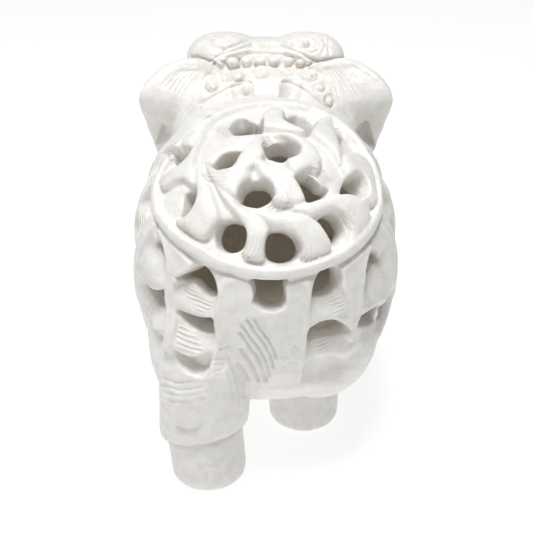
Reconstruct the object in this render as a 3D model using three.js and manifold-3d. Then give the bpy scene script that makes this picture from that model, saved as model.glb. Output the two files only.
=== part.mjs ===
// A pierced marble elephant, carved from one block: hollow lattice body, walking pose.
// Millimetres, +Z up, the elephant faces -Y, origin on the ground under the middle of its box.
import * as THREE from 'three';
import { mergeVertices } from 'three/addons/utils/BufferGeometryUtils.js';
import Module from 'manifold-3d';

const wasm = await Module();
wasm.setup();

// Body: an egg whose middle is its heart, with squarish sections
const bodyHalfWidth = 36.7;
const bodyRear = 44;
const bodyFront = 60;
const bodyUp = 39.5;
const bodyDown = 39.5;
const bodyRoundness = 2.3;
const heart = new THREE.Vector3(0, 2, 51.3);

// Hollow inside the body
const sideWall = 6;
const topWall = 6;
const rearWall = 6.5;
const frontWall = 19;
const bellyWall = 10;

// Chart: degrees around a pole on top of the rump, x to the elephant's right, y to its head
const poleTilt = 25;
const ringRadius = 45.2;
const ringSetBack = 1.5;
const ringHalfWidth = 3;
const ringHeight = 1.5;
const innerRing = { x: 3.7, y: -6.2, halfWidth: 24, halfHeight: 20, band: 1.3, height: 0.9 };

// Rosette holes on the chart: middle, half sizes, turn of the long side
const rosetteHoles = [
  { x: -6.5, y: 20.5, halfWidth: 6.4, halfHeight: 5.2, turn: 5 },
  { x: 12.2, y: 24.5, halfWidth: 6, halfHeight: 7, turn: -25 },
  { x: 29.8, y: 13.5, halfWidth: 4.6, halfHeight: 6.6, turn: -20 },
  { x: 32.3, y: -9.3, halfWidth: 5.2, halfHeight: 5.4, turn: 20 },
  { x: 22.7, y: -28.7, halfWidth: 5.4, halfHeight: 5.6, turn: 30 },
  { x: 5.5, y: -36.3, halfWidth: 5.6, halfHeight: 5.2, turn: 0 },
  { x: -12.9, y: -32.7, halfWidth: 4.6, halfHeight: 5.6, turn: -15 },
  { x: -27.6, y: -18.8, halfWidth: 4.8, halfHeight: 5.8, turn: -35 },
  { x: -31.6, y: 5.6, halfWidth: 5, halfHeight: 5.6, turn: 35 },
  { x: -13.9, y: -3.2, halfWidth: 5.4, halfHeight: 4.4, turn: 15 },
  { x: 5.4, y: 1.5, halfWidth: 5.6, halfHeight: 5.4, turn: 0 },
  { x: 15.7, y: -15.8, halfWidth: 5.6, halfHeight: 4.8, turn: -20 },
  { x: -3.2, y: -18.2, halfWidth: 5.6, halfHeight: 5.2, turn: 0 },
];
const outerHoleCount = 9;
const petalReach = 6.5;
const petalHalfWidth = 7.6;
const petalHeight = 1.4;

// Flank columns: ribs run out from the ring, with rows of holes between them
const columnCount = 13;
const firstColumn = 271;
const rowPolar = [53, 69, 86];
const flankHole = { halfWidth: 7.4, halfHeight: 5.4 };
const ribStart = 47;
const ribEnd = 98;
const ribHalfWidth = 2.6;
const ribHeight = 1.2;
const flankLowest = 27;
const flankForemost = -31;
const gouge = { floor: 5, outside: 16 };
const cutterProud = 6;
const cutterPast = 5;

// Legs: foot middle, hem height, thigh radius
const footRadius = 10.2;
const soleRadius = 7.2;
const legs = [
  { x: 15.6, y: 34.6, hem: 17.5, thigh: 12.4, top: 52 },
  { x: -11.3, y: 8.3, hem: 14.8, thigh: 12.2, top: 46 },
  { x: 13.5, y: -38, hem: 16, thigh: 12.2, top: 50 },
  { x: -13, y: -19, hem: 16, thigh: 12.2, top: 46 },
];

const haunches = [
  { x: 15, y: 26.5, z: 39, halfWidth: 16.5, halfDepth: 20.5, halfHeight: 25 },
  { x: -14, y: 20, z: 36, halfWidth: 17, halfDepth: 21, halfHeight: 21.5 },
];

// Head, ears, trunk and tusks
const head = { y: -54, z: 73, halfWidth: 25.5, halfDepth: 16, halfHeight: 25.3, roundness: 2.6 };
const dome = {
  x: 12.6, y: head.y + 1, z: head.z + 16.3, halfWidth: 12, halfDepth: 12.5, halfHeight: 10.2,
};
const neck = { y: head.y + 14, z: head.z - 9, halfWidth: 27.5, halfDepth: 15, halfHeight: 25.5 };
const earThickness = 6.5;
const earY = head.y + 15;
const earTop = head.z + 17;
const earWidth = 38.5;
const earRoot = 16;
// Rim of the fan as shares: 0 to 1 from its root to its widest, and millimetres below its top
const earStart = [0.045, 0];
const earRim = [
  [[0.18, -7], [0.44, -7], [0.62, -3.5]],
  [[0.84, 0.5], [1, 4], [1, 10]],
  [[0.98, 20], [0.84, 28], [0.73, 36]],
  [[0.62, 44], [0.4, 48], [0.22, 43]],
  [[0.09, 38], [0, 30], [0, 20]],
];
const trunkSides = 11;
const trunkSteps = 14;
const trunkPath = [
  { ahead: 8, z: 72, radius: 14.5 },
  { ahead: 15.5, z: 60, radius: 12 },
  { ahead: 19.5, z: 47, radius: 9.8 },
  { ahead: 20.5, z: 34, radius: 8.2 },
  { ahead: 17.5, z: 22.5, radius: 6.8 },
  { ahead: 11, z: 15.5, radius: 5.8 },
  { ahead: 3.5, z: 17, radius: 5 },
  { ahead: 0, z: 23, radius: 4.3 },
];
const tusk = {
  x: 9.2, y: head.y - 14, z: head.z - 20.5, length: 13, radius: 2.9, tip: 1.3, droop: 30, splay: 8,
};
const eye = { x: 18.6, y: head.y - 10.3, z: head.z + 1, radius: 3 };
const beadCount = 7;
const bead = { radius: 1.9, z: head.z + 19.4, y: head.y + 9.4, spread: 15.5, sag: 3.4, bow: 1.5 };

// The figure is laid out round the body, then moved so that its box is centred on the origin
const frameShift = 18.195;

const cutterSides = 6;
const cutterInner = -Math.max(sideWall, topWall, rearWall) - cutterPast;
const degrees = Math.PI / 180;
const pole = new THREE.Vector3(0, Math.sin(poleTilt * degrees), Math.cos(poleTilt * degrees));
const chartRight = new THREE.Vector3(-1, 0, 0);
const chartAhead = new THREE.Vector3().crossVectors(pole, chartRight);

// Distance from the heart to an egg's skin along a unit direction
function eggReach(direction, egg) {
  const alongY = direction.y > 0 ? egg.rear : egg.front;
  const alongZ = direction.z > 0 ? egg.up : egg.down;
  const sum = Math.abs(direction.x / egg.halfWidth) ** bodyRoundness
    + Math.abs(direction.y / alongY) ** bodyRoundness
    + Math.abs(direction.z / alongZ) ** bodyRoundness;
  return sum ** (-1 / bodyRoundness);
}

const bodyEgg = {
  halfWidth: bodyHalfWidth, rear: bodyRear, front: bodyFront, up: bodyUp, down: bodyDown,
};
const hollowEgg = {
  halfWidth: bodyHalfWidth - sideWall, rear: bodyRear - rearWall, front: bodyFront - frontWall,
  up: bodyUp - topWall, down: bodyDown - bellyWall,
};

// A chart point in degrees, lifted off the body's skin in millimetres
function bodyPoint(x, y, lift) {
  const polar = Math.hypot(x, y) * degrees;
  const azimuth = Math.atan2(y, x);
  const direction = pole.clone().multiplyScalar(Math.cos(polar))
    .addScaledVector(chartRight, Math.sin(polar) * Math.cos(azimuth))
    .addScaledVector(chartAhead, Math.sin(polar) * Math.sin(azimuth));
  return direction.multiplyScalar(eggReach(direction, bodyEgg) + lift).add(heart);
}

function signedVolume(positions, index) {
  const a = new THREE.Vector3();
  const b = new THREE.Vector3();
  const c = new THREE.Vector3();
  let sum = 0;
  for (let i = 0; i < index.length; i += 3) {
    a.fromArray(positions, index[i] * 3);
    b.fromArray(positions, index[i + 1] * 3);
    c.fromArray(positions, index[i + 2] * 3);
    sum += a.dot(b.cross(c));
  }
  return sum / 6;
}

// A closed geometry as a solid, with its faces turned to point outwards
function asSolid(geometry) {
  const plain = geometry.clone();
  plain.deleteAttribute('normal');
  plain.deleteAttribute('uv');
  const merged = mergeVertices(plain, 1e-4);
  const positions = merged.attributes.position.array;
  const index = Uint32Array.from(merged.index.array);
  if (signedVolume(positions, index) < 0) index.reverse();
  return new wasm.Manifold(new wasm.Mesh({
    numProp: 3, vertProperties: Float32Array.from(positions), triVerts: index,
  }));
}

// Move every vertex of a geometry by a function of its position
function reshape(geometry, move) {
  const position = geometry.attributes.position;
  const point = new THREE.Vector3();
  for (let i = 0; i < position.count; i += 1) {
    point.fromBufferAttribute(position, i);
    const moved = move(point);
    position.setXYZ(i, moved.x, moved.y, moved.z);
  }
  return geometry;
}

// A flat chart shape laid on the body: x and y in degrees, z in millimetres of lift
const wrap = (geometry) => reshape(geometry, (point) => bodyPoint(point.x, point.y, point.z));

function egg(shape, around, down) {
  const geometry = new THREE.SphereGeometry(1, around, down);
  return asSolid(reshape(geometry, (point) => {
    const direction = pole.clone().multiplyScalar(point.y)
      .addScaledVector(chartRight, point.x)
      .addScaledVector(chartAhead, -point.z).normalize();
    return direction.multiplyScalar(eggReach(direction, shape)).add(heart);
  }));
}

function ellipsoid(x, y, z, halfX, halfY, halfZ, around = 16, down = 10) {
  const geometry = new THREE.SphereGeometry(1, around, down);
  geometry.scale(halfX, halfZ, halfY).rotateX(Math.PI / 2).translate(x, y, z);
  return asSolid(geometry);
}

// Raised band round the rosette: a ring laid in the chart
function ring(centreX, centreY, halfWidth, halfHeight, band, height, steps) {
  const geometry = new THREE.TorusGeometry(1, 0.5, 4, steps);
  return asSolid(reshape(geometry, (point) => {
    const angle = Math.atan2(point.y, point.x);
    const out = (Math.hypot(point.x, point.y) - 1) / 0.5;
    const lift = (point.z / 0.5) * height;
    return bodyPoint(
      centreX + (halfWidth + out * band) * Math.cos(angle),
      centreY + (halfHeight + out * band) * Math.sin(angle), lift);
  }));
}

function rib(azimuth) {
  const geometry = new THREE.CylinderGeometry(1, 1, 1, 3, 4);
  const long = ribEnd - ribStart;
  return asSolid(reshape(geometry, (point) => {
    const polar = ribStart + (0.5 - point.y) * long;
    const side = point.x * ribHalfWidth;
    const angle = azimuth * degrees;
    return bodyPoint(
      polar * Math.cos(angle) - side * Math.sin(angle),
      polar * Math.sin(angle) + side * Math.cos(angle), point.z * ribHeight);
  }));
}

// A tongue of the rosette: a low dome whose head ends at the hole on its far side
function petal(hole, centre) {
  const away = Math.atan2(hole.y - centre.y, hole.x - centre.x) - Math.PI / 2;
  const reach = hole.halfWidth + petalReach;
  const x = hole.x + Math.cos(away) * reach;
  const y = hole.y + Math.sin(away) * reach;
  const geometry = new THREE.SphereGeometry(1, 6, 4);
  geometry.rotateX(Math.PI / 2).scale(petalReach, petalHalfWidth, petalHeight);
  geometry.rotateZ(away).translate(x, y, 0);
  return asSolid(wrap(geometry));
}

// Tapered cutter on the chart between two lifts off the skin
function cutter(hole, inner, outer) {
  const geometry = new THREE.CylinderGeometry(1, 1, outer - inner, cutterSides, 1);
  geometry.rotateX(Math.PI / 2).translate(0, 0, (inner + outer) / 2);
  geometry.scale(hole.halfWidth, hole.halfHeight, 1);
  geometry.rotateZ(hole.turn * degrees).translate(hole.x, hole.y, 0);
  return asSolid(wrap(geometry));
}

// Holes of the flank columns, and shallow gouges where a thigh is behind them
function flankCuts() {
  const cuts = [];
  for (let column = 0; column < columnCount; column += 1) {
    const azimuth = firstColumn - (column * 360) / columnCount;
    rowPolar.forEach((polar, row) => {
      const x = polar * Math.cos(azimuth * degrees);
      const y = polar * Math.sin(azimuth * degrees);
      const spot = bodyPoint(x, y, 0);
      const turn = azimuth - 90;
      const narrow = column === 0 ? 0.85 : 1;
      const hole = { x, y, halfWidth: flankHole.halfWidth * narrow, halfHeight: flankHole.halfHeight, turn };
      if (spot.z < flankLowest || spot.y < flankForemost) return;
      if (column === 0 && row > 0) return;
      const overThigh = row > 1 && (column === 1 || column === columnCount - 1);
      cuts.push(overThigh ? cutter(hole, gouge.floor, gouge.outside) : cutter(hole, cutterInner, cutterProud));
    });
  }
  return cuts;
}

function leg(shape) {
  const profile = [
    [0, 0], [soleRadius, 0], [footRadius - 0.8, 1.6], [footRadius, 4.5], [footRadius, shape.hem],
    [footRadius + 1.2, shape.hem + 0.6], [shape.thigh, shape.hem + 12], [shape.thigh, shape.top - 14],
    [shape.thigh * 0.7, shape.top - 4], [0, shape.top],
  ].map(([radius, height]) => new THREE.Vector2(radius, height));
  const geometry = new THREE.LatheGeometry(profile, 12);
  geometry.rotateX(Math.PI / 2).translate(shape.x, shape.y, 0);
  return asSolid(geometry);
}

function headBlock() {
  const geometry = new THREE.SphereGeometry(1, 18, 12);
  return asSolid(reshape(geometry, (point) => {
    const power = head.roundness;
    const sum = Math.abs(point.x) ** power + Math.abs(point.y) ** power + Math.abs(point.z) ** power;
    const out = sum ** (-1 / power);
    return new THREE.Vector3(
      point.x * out * head.halfWidth, head.y - point.z * out * head.halfDepth,
      head.z + point.y * out * head.halfHeight);
  }));
}

// Ear: a thick fan beside the head, its outline in the plane across the body
function ear(side) {
  const outline = new THREE.Shape();
  const spot = ([share, below]) => [earRoot + share * (earWidth - earRoot), earTop - below];
  outline.moveTo(...spot(earStart));
  earRim.forEach((stops) => outline.bezierCurveTo(...stops.flatMap(spot)));
  const geometry = new THREE.ExtrudeGeometry(outline, {
    depth: earThickness - 2, bevelEnabled: true, bevelThickness: 1, bevelSize: 1.4,
    bevelOffset: -1.4, bevelSegments: 1, curveSegments: 4,
  });
  geometry.rotateX(Math.PI / 2).translate(0, earY + earThickness / 2, 0);
  if (side < 0) geometry.scale(-1, 1, 1);
  return asSolid(geometry);
}

// Trunk: round sections swept down the face and curled in under it
function trunk() {
  const curve = new THREE.CatmullRomCurve3(
    trunkPath.map((stop) => new THREE.Vector3(0, head.y - stop.ahead, stop.z)));
  const geometry = new THREE.SphereGeometry(1, trunkSides, trunkSteps);
  const last = trunkPath.length - 1;
  return asSolid(reshape(geometry, (point) => {
    const polar = Math.acos(THREE.MathUtils.clamp(point.y, -1, 1)) / Math.PI;
    const along = THREE.MathUtils.clamp((polar * trunkSteps - 1) / (trunkSteps - 2), 0, 1);
    const middle = curve.getPoint(along);
    const tangent = curve.getTangent(along);
    const across = new THREE.Vector3(1, 0, 0);
    const outward = new THREE.Vector3().crossVectors(tangent, across);
    const spot = along * last;
    const low = Math.min(Math.floor(spot), last - 1);
    const share = spot - low;
    const radius = trunkPath[low].radius * (1 - share) + trunkPath[low + 1].radius * share;
    const size = Math.hypot(point.x, point.z);
    if (size < 1e-6) return middle.addScaledVector(tangent, point.y > 0 ? -1 : 1.5);
    return middle.addScaledVector(across, (point.x / size) * radius)
      .addScaledVector(outward, (point.z / size) * radius);
  }));
}

function tuskSolid(side) {
  const geometry = new THREE.CylinderGeometry(tusk.tip, tusk.radius, tusk.length, 8, 1);
  geometry.translate(0, tusk.length / 2, 0).rotateX((90 + tusk.droop) * degrees);
  geometry.rotateZ(side * tusk.splay * degrees).translate(side * tusk.x, tusk.y, tusk.z);
  return asSolid(geometry);
}

function beads() {
  return Array.from({ length: beadCount }, (_, i) => {
    const share = (i / (beadCount - 1)) * 2 - 1;
    return ellipsoid(share * bead.spread, bead.y + bead.bow * share * share, bead.z - bead.sag * share * share,
      bead.radius, bead.radius, bead.radius, 6, 3);
  });
}

function carving() {
  const outerHoles = rosetteHoles.slice(0, outerHoleCount);
  const innerHoles = rosetteHoles.slice(outerHoleCount);
  const adds = [
    ring(0, -ringSetBack, ringRadius, ringRadius, ringHalfWidth, ringHeight, 22),
    ring(innerRing.x, innerRing.y, innerRing.halfWidth, innerRing.halfHeight,
      innerRing.band, innerRing.height, 12),
    ...outerHoles.map((hole) => petal(hole, { x: 2, y: -4 })),
    ...innerHoles.map((hole) => petal(hole, { x: 1, y: -9 })),
    ...legs.map(leg),
    ...haunches.map((part) => ellipsoid(part.x, part.y, part.z,
      part.halfWidth, part.halfDepth, part.halfHeight, 14, 8)),
    ellipsoid(0, neck.y, neck.z, neck.halfWidth, neck.halfDepth, neck.halfHeight, 14, 8),
    headBlock(),
    ear(1),
    ear(-1),
    trunk(),
    ...beads(),
  ];
  for (let column = 0; column < columnCount; column += 1) {
    const azimuth = firstColumn - ((column + 0.5) * 360) / columnCount;
    adds.push(rib(azimuth));
  }
  [1, -1].forEach((side) => {
    adds.push(ellipsoid(side * dome.x, dome.y, dome.z, dome.halfWidth, dome.halfDepth, dome.halfHeight, 12, 6));
    adds.push(ellipsoid(side * eye.x, eye.y, eye.z, eye.radius, eye.radius, eye.radius, 6, 4));
    adds.push(tuskSolid(side));
  });
  let solid = egg(bodyEgg, 24, 15);
  adds.forEach((piece) => {
    solid = solid.add(piece);
  });
  solid = solid.subtract(egg(hollowEgg, 14, 9));
  rosetteHoles.forEach((hole) => {
    solid = solid.subtract(cutter(hole, cutterInner, cutterProud));
  });
  flankCuts().forEach((cut) => {
    solid = solid.subtract(cut);
  });
  return solid;
}

const mesh = carving().getMesh();
const geometry = new THREE.BufferGeometry();
geometry.setAttribute('position', new THREE.BufferAttribute(Float32Array.from(mesh.vertProperties), 3));
geometry.setIndex(new THREE.BufferAttribute(Uint32Array.from(mesh.triVerts), 1));
geometry.translate(0, frameShift, 0);
geometry.computeVertexNormals();

const marble = new THREE.MeshStandardMaterial({ color: 0xece9e2, roughness: 0.42, metalness: 0 });
const elephant = new THREE.Mesh(geometry, marble);
elephant.name = 'elephant';

const model = new THREE.Group();
model.add(elephant);
export default model;
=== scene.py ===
import math

import bmesh
import bpy
import numpy as np
from mathutils import Matrix, Vector


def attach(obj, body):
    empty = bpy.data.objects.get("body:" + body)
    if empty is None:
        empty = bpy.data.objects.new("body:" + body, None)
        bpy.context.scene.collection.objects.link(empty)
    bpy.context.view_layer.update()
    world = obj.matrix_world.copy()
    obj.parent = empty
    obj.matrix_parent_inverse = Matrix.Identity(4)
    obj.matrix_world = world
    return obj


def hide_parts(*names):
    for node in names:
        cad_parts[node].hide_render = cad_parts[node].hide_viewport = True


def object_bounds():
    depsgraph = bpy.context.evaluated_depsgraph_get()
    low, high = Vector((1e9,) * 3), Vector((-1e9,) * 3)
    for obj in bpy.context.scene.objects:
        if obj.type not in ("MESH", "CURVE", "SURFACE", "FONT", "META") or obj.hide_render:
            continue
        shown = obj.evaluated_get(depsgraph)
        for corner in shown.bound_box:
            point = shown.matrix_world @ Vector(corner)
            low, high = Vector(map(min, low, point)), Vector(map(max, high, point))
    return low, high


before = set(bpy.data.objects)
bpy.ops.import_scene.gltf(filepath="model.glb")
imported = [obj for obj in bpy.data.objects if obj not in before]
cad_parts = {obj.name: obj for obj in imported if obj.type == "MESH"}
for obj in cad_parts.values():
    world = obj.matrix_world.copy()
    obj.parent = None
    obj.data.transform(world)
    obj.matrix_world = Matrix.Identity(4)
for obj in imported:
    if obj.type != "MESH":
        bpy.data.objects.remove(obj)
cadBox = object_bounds()

# The figure is laid out in millimetres round its body, then moved into the frame
frameShift = 18.195
mm = 0.001
boxEase = 2.5

bodyEgg = {
    "halfWidth": 36.7,
    "rear": 44.0,
    "front": 60.0,
    "up": 39.5,
    "down": 38.0,
    "roundness": 2.3,
    "heart": (0.0, 2.0, 51.3),
    "poleTilt": 25.0,  # degrees from straight up towards the rear
}

blindFloors = (0.5, -2.6, 0.5)  # how far over the egg's skin the blind holes stop

holeShape = {
    "inside": 1.06,
    "rim": 1.16,
    "flare": (-3.5, 1.5),  # from the inside to the rim, by height over the skin
}

hollowEgg = {
    "halfWidth": 30.7,
    "rear": 37.5,
    "front": 41.0,
    "up": 33.5,
    "down": 29.5,
}

# Chart: degrees round the pole, x to the elephant's right, y to its head
# The ring's azimuth on it, and its inner and outer edge in degrees from the pole
ringEdges = [
    (-90, 43.1, 47.6), (-75, 43.3, 47.4), (-60, 43.4, 47.6), (-45, 43.4, 48.0), (-30, 43.8, 48.3),
    (-15, 44.4, 48.6), (0, 44.3, 49.3), (25, 44.6, 49.6), (42, 44.4, 49.6), (57, 43.0, 48.6),
    (75, 40.4, 46.6), (90, 38.6, 45.4), (111, 35.6, 42.2), (130, 34.2, 39.8), (153, 34.6, 39.6),
    (172, 38.0, 43.0), (186, 41.4, 46.0), (205, 42.2, 46.4), (215, 41.2, 45.4), (227, 41.0, 45.2),
    (240, 40.7, 45.4), (256, 42.2, 46.2),
]

# Outlines picked over the photograph, in the pixels of its 533 by 533 frame
drawn = {
    "tongues": [
        [(197, 160), (196, 185), (196, 200), (190, 211), (180, 218), (174, 221), (185, 230), (200, 239.5),
         (209, 236), (213, 227), (221, 219.5), (217, 205), (212, 190), (203, 170)],
        [(213, 183), (222, 198), (233, 212), (241, 222), (245, 234), (246, 246), (243, 256), (250, 260.5),
         (260, 260), (265, 256), (264, 247), (268, 238), (270, 231), (263, 221), (252, 213), (240, 205.5),
         (228, 195)],
        [(243, 207), (256, 211), (275, 213), (295, 214.5), (308, 217), (318, 222), (326, 230), (331, 240),
         (331.5, 249), (324, 255.5), (314, 259), (302, 261.5), (301, 250), (298, 240), (293, 232),
         (284, 229), (270, 226), (260, 217)],
        [(290, 210), (305, 203), (322, 199), (335, 196), (345, 194), (355, 195.5), (363, 200.5), (368, 208),
         (370, 217), (367, 225), (361, 233), (354, 241), (347, 243), (350, 232), (349, 222), (342, 213),
         (332, 209), (322, 213), (312, 218), (300, 213)],
        [(341, 155), (349, 152), (357, 154.5), (365, 160), (370, 168), (373, 178), (375, 192), (376, 205),
         (370, 207), (364, 198), (359, 188), (355, 180), (347, 178), (343, 170), (341, 162)],
        [(310, 133), (314, 124), (320, 118.5), (327, 117.3), (332, 122), (335, 132), (338, 142), (341, 155),
         (341, 168), (336, 160), (328, 148), (319, 140)],
        [(261, 129), (261, 119), (264, 113), (270, 110), (278, 110), (285, 112), (284, 119), (289, 124),
         (298, 129), (308, 133.5), (300, 135), (280, 131)],
        [(205, 133), (198, 141), (193, 150), (188, 158), (180, 165), (172, 172), (163, 177), (160, 184),
         (163, 190), (169, 187), (176, 182), (184, 179.5), (190, 185), (195, 187), (195.5, 175), (195, 160),
         (198, 148), (205, 138)],
        [(214, 121), (206, 131), (198, 140), (193, 149), (187, 148), (179, 146), (171, 149), (172, 145),
         (182, 141), (197, 133), (207, 125)],
        [(262, 136), (252, 140), (246, 146), (240, 153), (235, 163), (228, 169), (218, 170), (222, 176),
         (235, 182), (240, 180), (246, 172), (256, 166), (262, 160), (266, 153), (263, 146), (266, 140)],
        [(270, 134), (290, 134.5), (305, 140), (315, 148), (321, 158), (321, 166), (318, 174), (312, 168),
         (302, 171), (296, 176), (290, 170), (284, 160), (295, 156), (299, 149), (296, 142), (285, 137)],
        [(256, 158), (268, 163), (282, 169), (291, 174), (298, 182), (303, 190), (307, 201), (298, 205),
         (285, 205.5), (273, 203), (271, 198), (273, 191), (270, 184), (262, 177), (256, 168)],
        [(204, 157), (210, 165), (218, 171), (230, 172), (240, 170), (248, 168), (250, 176), (243, 183),
         (239, 191), (238.5, 199), (230, 196), (218, 188), (208, 175)],
    ],
    "rosetteHoles": [
        [(229, 124), (232, 118), (238, 114), (243, 113.5), (250, 117), (256, 119), (262, 120), (261.5, 125),
         (261, 129), (250, 129), (240, 130.5), (234, 130.5)],
        [(284, 119.5), (287, 115), (292, 112), (299, 111), (306, 114), (312, 119), (315.5, 122), (312, 128),
         (308.5, 133), (300, 129.5), (292, 126), (286, 123)],
        [(337, 134), (341, 133), (346, 134), (350, 138), (355, 145), (358, 152), (354, 154), (349, 152.5),
         (342, 154.5), (340, 148), (338, 141)],
        [(343, 192.5), (346, 184), (349, 177), (354, 174), (360, 177), (364, 183), (366, 191), (364, 197),
         (358, 195), (350, 193.5)],
        [(319, 222), (325, 216), (331, 213), (335, 213), (340, 216), (344, 222), (346.5, 228), (347, 233),
         (344, 239), (341, 244), (336, 245), (332.5, 246), (331, 241), (326, 233), (322, 226)],
        [(270.5, 232), (277, 231), (285, 231), (291, 234), (296, 238), (299.5, 244), (300.5, 251),
         (298, 258), (293, 262), (286, 264.5), (278, 264.5), (271, 262), (266.5, 258), (266, 250),
         (266.5, 243), (268, 237)],
        [(222, 221), (229, 219.5), (236, 220.5), (241, 224), (244.5, 230), (245, 237), (243, 245),
         (239, 250), (233, 252.5), (226, 253), (220, 251.5), (216, 247), (214, 241), (214, 235), (216, 229),
         (218.5, 224)],
        [(183, 193), (188, 190), (196.5, 187.5), (197, 195), (195.5, 202), (192, 209), (186.5, 216),
         (180, 218), (176.5, 216.5), (179, 212), (180.5, 205), (181, 198)],
        [(166, 156), (170, 152), (178, 150.5), (184, 150), (190, 153), (188, 158), (183, 163), (176, 169),
         (173, 169), (176, 163), (172, 160)],
        [(210, 163), (214, 158), (220, 152), (228, 148.5), (236, 148), (245, 148), (241, 154), (237, 159.5),
         (236, 164), (231, 168), (226, 169), (220, 168.5), (213, 166)],
        [(264, 149), (267, 144), (272, 141), (280, 138.5), (288, 140), (295, 143), (299, 148), (298, 153),
         (294, 156), (286, 157.5), (277, 157.5), (269, 154)],
        [(296, 178), (299, 175), (306, 173), (313, 174), (318, 179), (322, 184), (328, 185), (331, 188),
         (327, 193), (320, 197), (312, 200.5), (307, 200.5), (304, 193), (301, 186)],
        [(239, 199.5), (240, 191), (244, 184), (249, 180), (256, 179.5), (264, 180), (270, 184), (273, 191),
         (273, 196), (270, 199), (264, 203), (257, 205.5), (249, 204), (243, 202)],
    ],
    "flankHoles": [
        [(248, 281), (256, 281), (266, 281.5), (276, 282), (284, 281), (289, 281), (286, 285), (283.5, 289),
         (285, 296), (285, 303), (282, 308), (276, 310.5), (269, 311), (262, 309), (256, 305), (253, 302),
         (255, 297), (254, 289), (251, 284)],
        [(176, 279), (181, 276), (188, 273), (193, 269.5), (198, 267), (203, 268.5), (208, 272.5),
         (212, 279), (214, 287), (215, 294), (213, 298), (209, 300), (205, 299), (199, 295.5), (194, 290),
         (190, 285), (184, 282.5), (178, 281)],
        [(176, 313), (185, 317), (193, 319.5), (203, 319.5), (211, 320), (210.5, 328), (212.5, 335),
         (209, 339.5), (203, 341), (193, 338), (185, 333), (178, 325), (175, 318)],
        [(317, 282), (321, 275), (327, 270), (333, 268), (336, 268), (340, 271), (342, 278), (341.5, 286),
         (339, 291), (334, 296), (328, 298), (321, 298.5), (316, 299.5), (315, 294), (315.5, 288)],
        [(310, 333), (315, 328), (322, 324), (332, 321.5), (338, 323), (345, 327), (350, 331), (348, 336),
         (340, 340), (330, 341), (320, 342), (312, 347), (309, 344), (309.5, 338)],
        [(150, 243), (156, 240), (159.5, 238), (161, 244), (163, 252), (165, 260), (165, 266), (162, 265),
         (158, 258), (154, 252)],
        [(140, 284), (147, 289), (155, 292), (161, 291), (163.5, 292), (163, 300), (163, 308), (163.5, 312),
         (158, 312), (152, 308), (147, 300), (142, 293)],
        [(373, 250), (380, 252), (385, 257), (385, 262), (380, 265), (375, 272), (370, 278), (366, 279.5),
         (367, 270), (369, 260), (371, 253)],
        [(381, 306), (384, 309), (386, 316), (384, 323), (380, 328), (374, 331), (368, 330), (360, 327),
         (360, 321), (366, 316), (373, 311)],
    ],
    "blindHoles": [
        [(171, 355), (175, 357), (183, 361), (195, 362.5), (204, 358), (208, 358), (206, 366), (204, 375),
         (199, 379.5), (190, 379), (182, 375), (175, 369), (172, 362)],
        [(306, 367), (312, 361.5), (320, 358.5), (328, 357.5), (335, 359), (340, 362), (341, 366),
         (338, 371), (331, 376), (322, 378.5), (314, 379), (308, 375), (305, 371)],
        [(148, 333), (155, 334), (162, 335.5), (160, 344), (158, 349.5), (154, 345), (150, 338)],
    ],
    "straps": [
        [(174, 283), (181, 284), (189, 287), (195, 293), (202, 298), (209, 301), (213.5, 299), (214, 306),
         (211, 312), (203, 318.5), (194, 319), (184, 316), (176, 312), (174, 300)],
        [(174, 322), (179, 328), (186, 334), (194, 339), (203, 341.5), (210, 340), (212, 346), (208, 356),
         (199, 361.5), (188, 360.5), (178, 356), (171.5, 349), (171, 335)],
        [(171, 366), (176, 371), (184, 376), (192, 380), (200, 380), (204, 378), (204, 384), (196, 388),
         (184, 386), (174, 379), (168, 370)],
        [(137, 262), (145, 258), (155, 262), (163, 268), (165, 275), (164, 286), (158, 291), (150, 290),
         (143, 286), (138, 280), (136, 270)],
        [(138, 300), (145, 303), (152, 309), (159, 313), (163, 314), (162, 325), (162, 333), (155, 333),
         (147, 329), (141, 321), (139, 312)],
        [(316, 300.5), (325, 299.5), (333, 297.5), (340, 292), (345, 296), (350, 302), (350, 315),
         (346, 325), (338, 321.5), (330, 321), (320, 324), (312, 329), (311, 318), (314, 308)],
        [(309, 349), (316, 346), (325, 342), (335, 340.5), (345, 338), (349, 345), (346, 357), (340, 360),
         (333, 357), (325, 356.5), (316, 359), (308, 364), (306, 357)],
        [(365, 283), (371, 278), (378, 274), (386, 268), (389, 272), (389, 290), (387, 300), (383, 305),
         (374, 309), (366, 313), (362, 316), (361, 300), (363, 290)],
    ],
    "ribs": [
        [(156, 228), (160, 237), (163, 248), (165.5, 262), (165, 280), (164, 296), (163.5, 314), (163, 332),
         (159, 352), (168, 352), (171, 340), (173, 325), (174, 310), (173, 295), (174, 284), (183, 274),
         (192, 268), (189, 261), (182, 252), (174, 243), (166, 233), (160, 224)],
        [(372, 243), (364, 250), (355, 257), (347, 265), (340, 272), (343, 280), (343, 290), (350, 300),
         (351, 312), (349, 325), (347, 337), (353, 345), (357, 330), (360, 320), (362, 305), (364, 290),
         (366, 275), (369, 260), (373, 248)],
    ],
}


studio = {
    "cameraDistance": 280.0,
    "cameraElevation": 28.0,
    "target": (-0.3, 0.0, 45.0),
    "focalPixels": 970.0,
    "frameWidth": 533.0,
    "sky": 0.22,
    "floorHalfSize": 4.0,
    "floorTone": (0.3, 0.3, 0.3, 1.0),
    "floorGlow": 0.8,
    "aim": (0.0, 0.0, 0.05),
    "lamps": [  # name, place, size, power
        ("key", (0.06, 0.14, 0.80), 0.30, 5.6),
        ("fill", (0.35, 0.80, 0.30), 0.40, 0.4),
    ],
}


remeshSize = 0.4
triangleLimit = 196000


def unit(vectors):
    return vectors / np.linalg.norm(vectors, axis=-1, keepdims=True)


def smooth(low, high, value):
    t = np.clip((value - low) / (high - low), 0, 1)
    return t * t * (3 - 2 * t)


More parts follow.
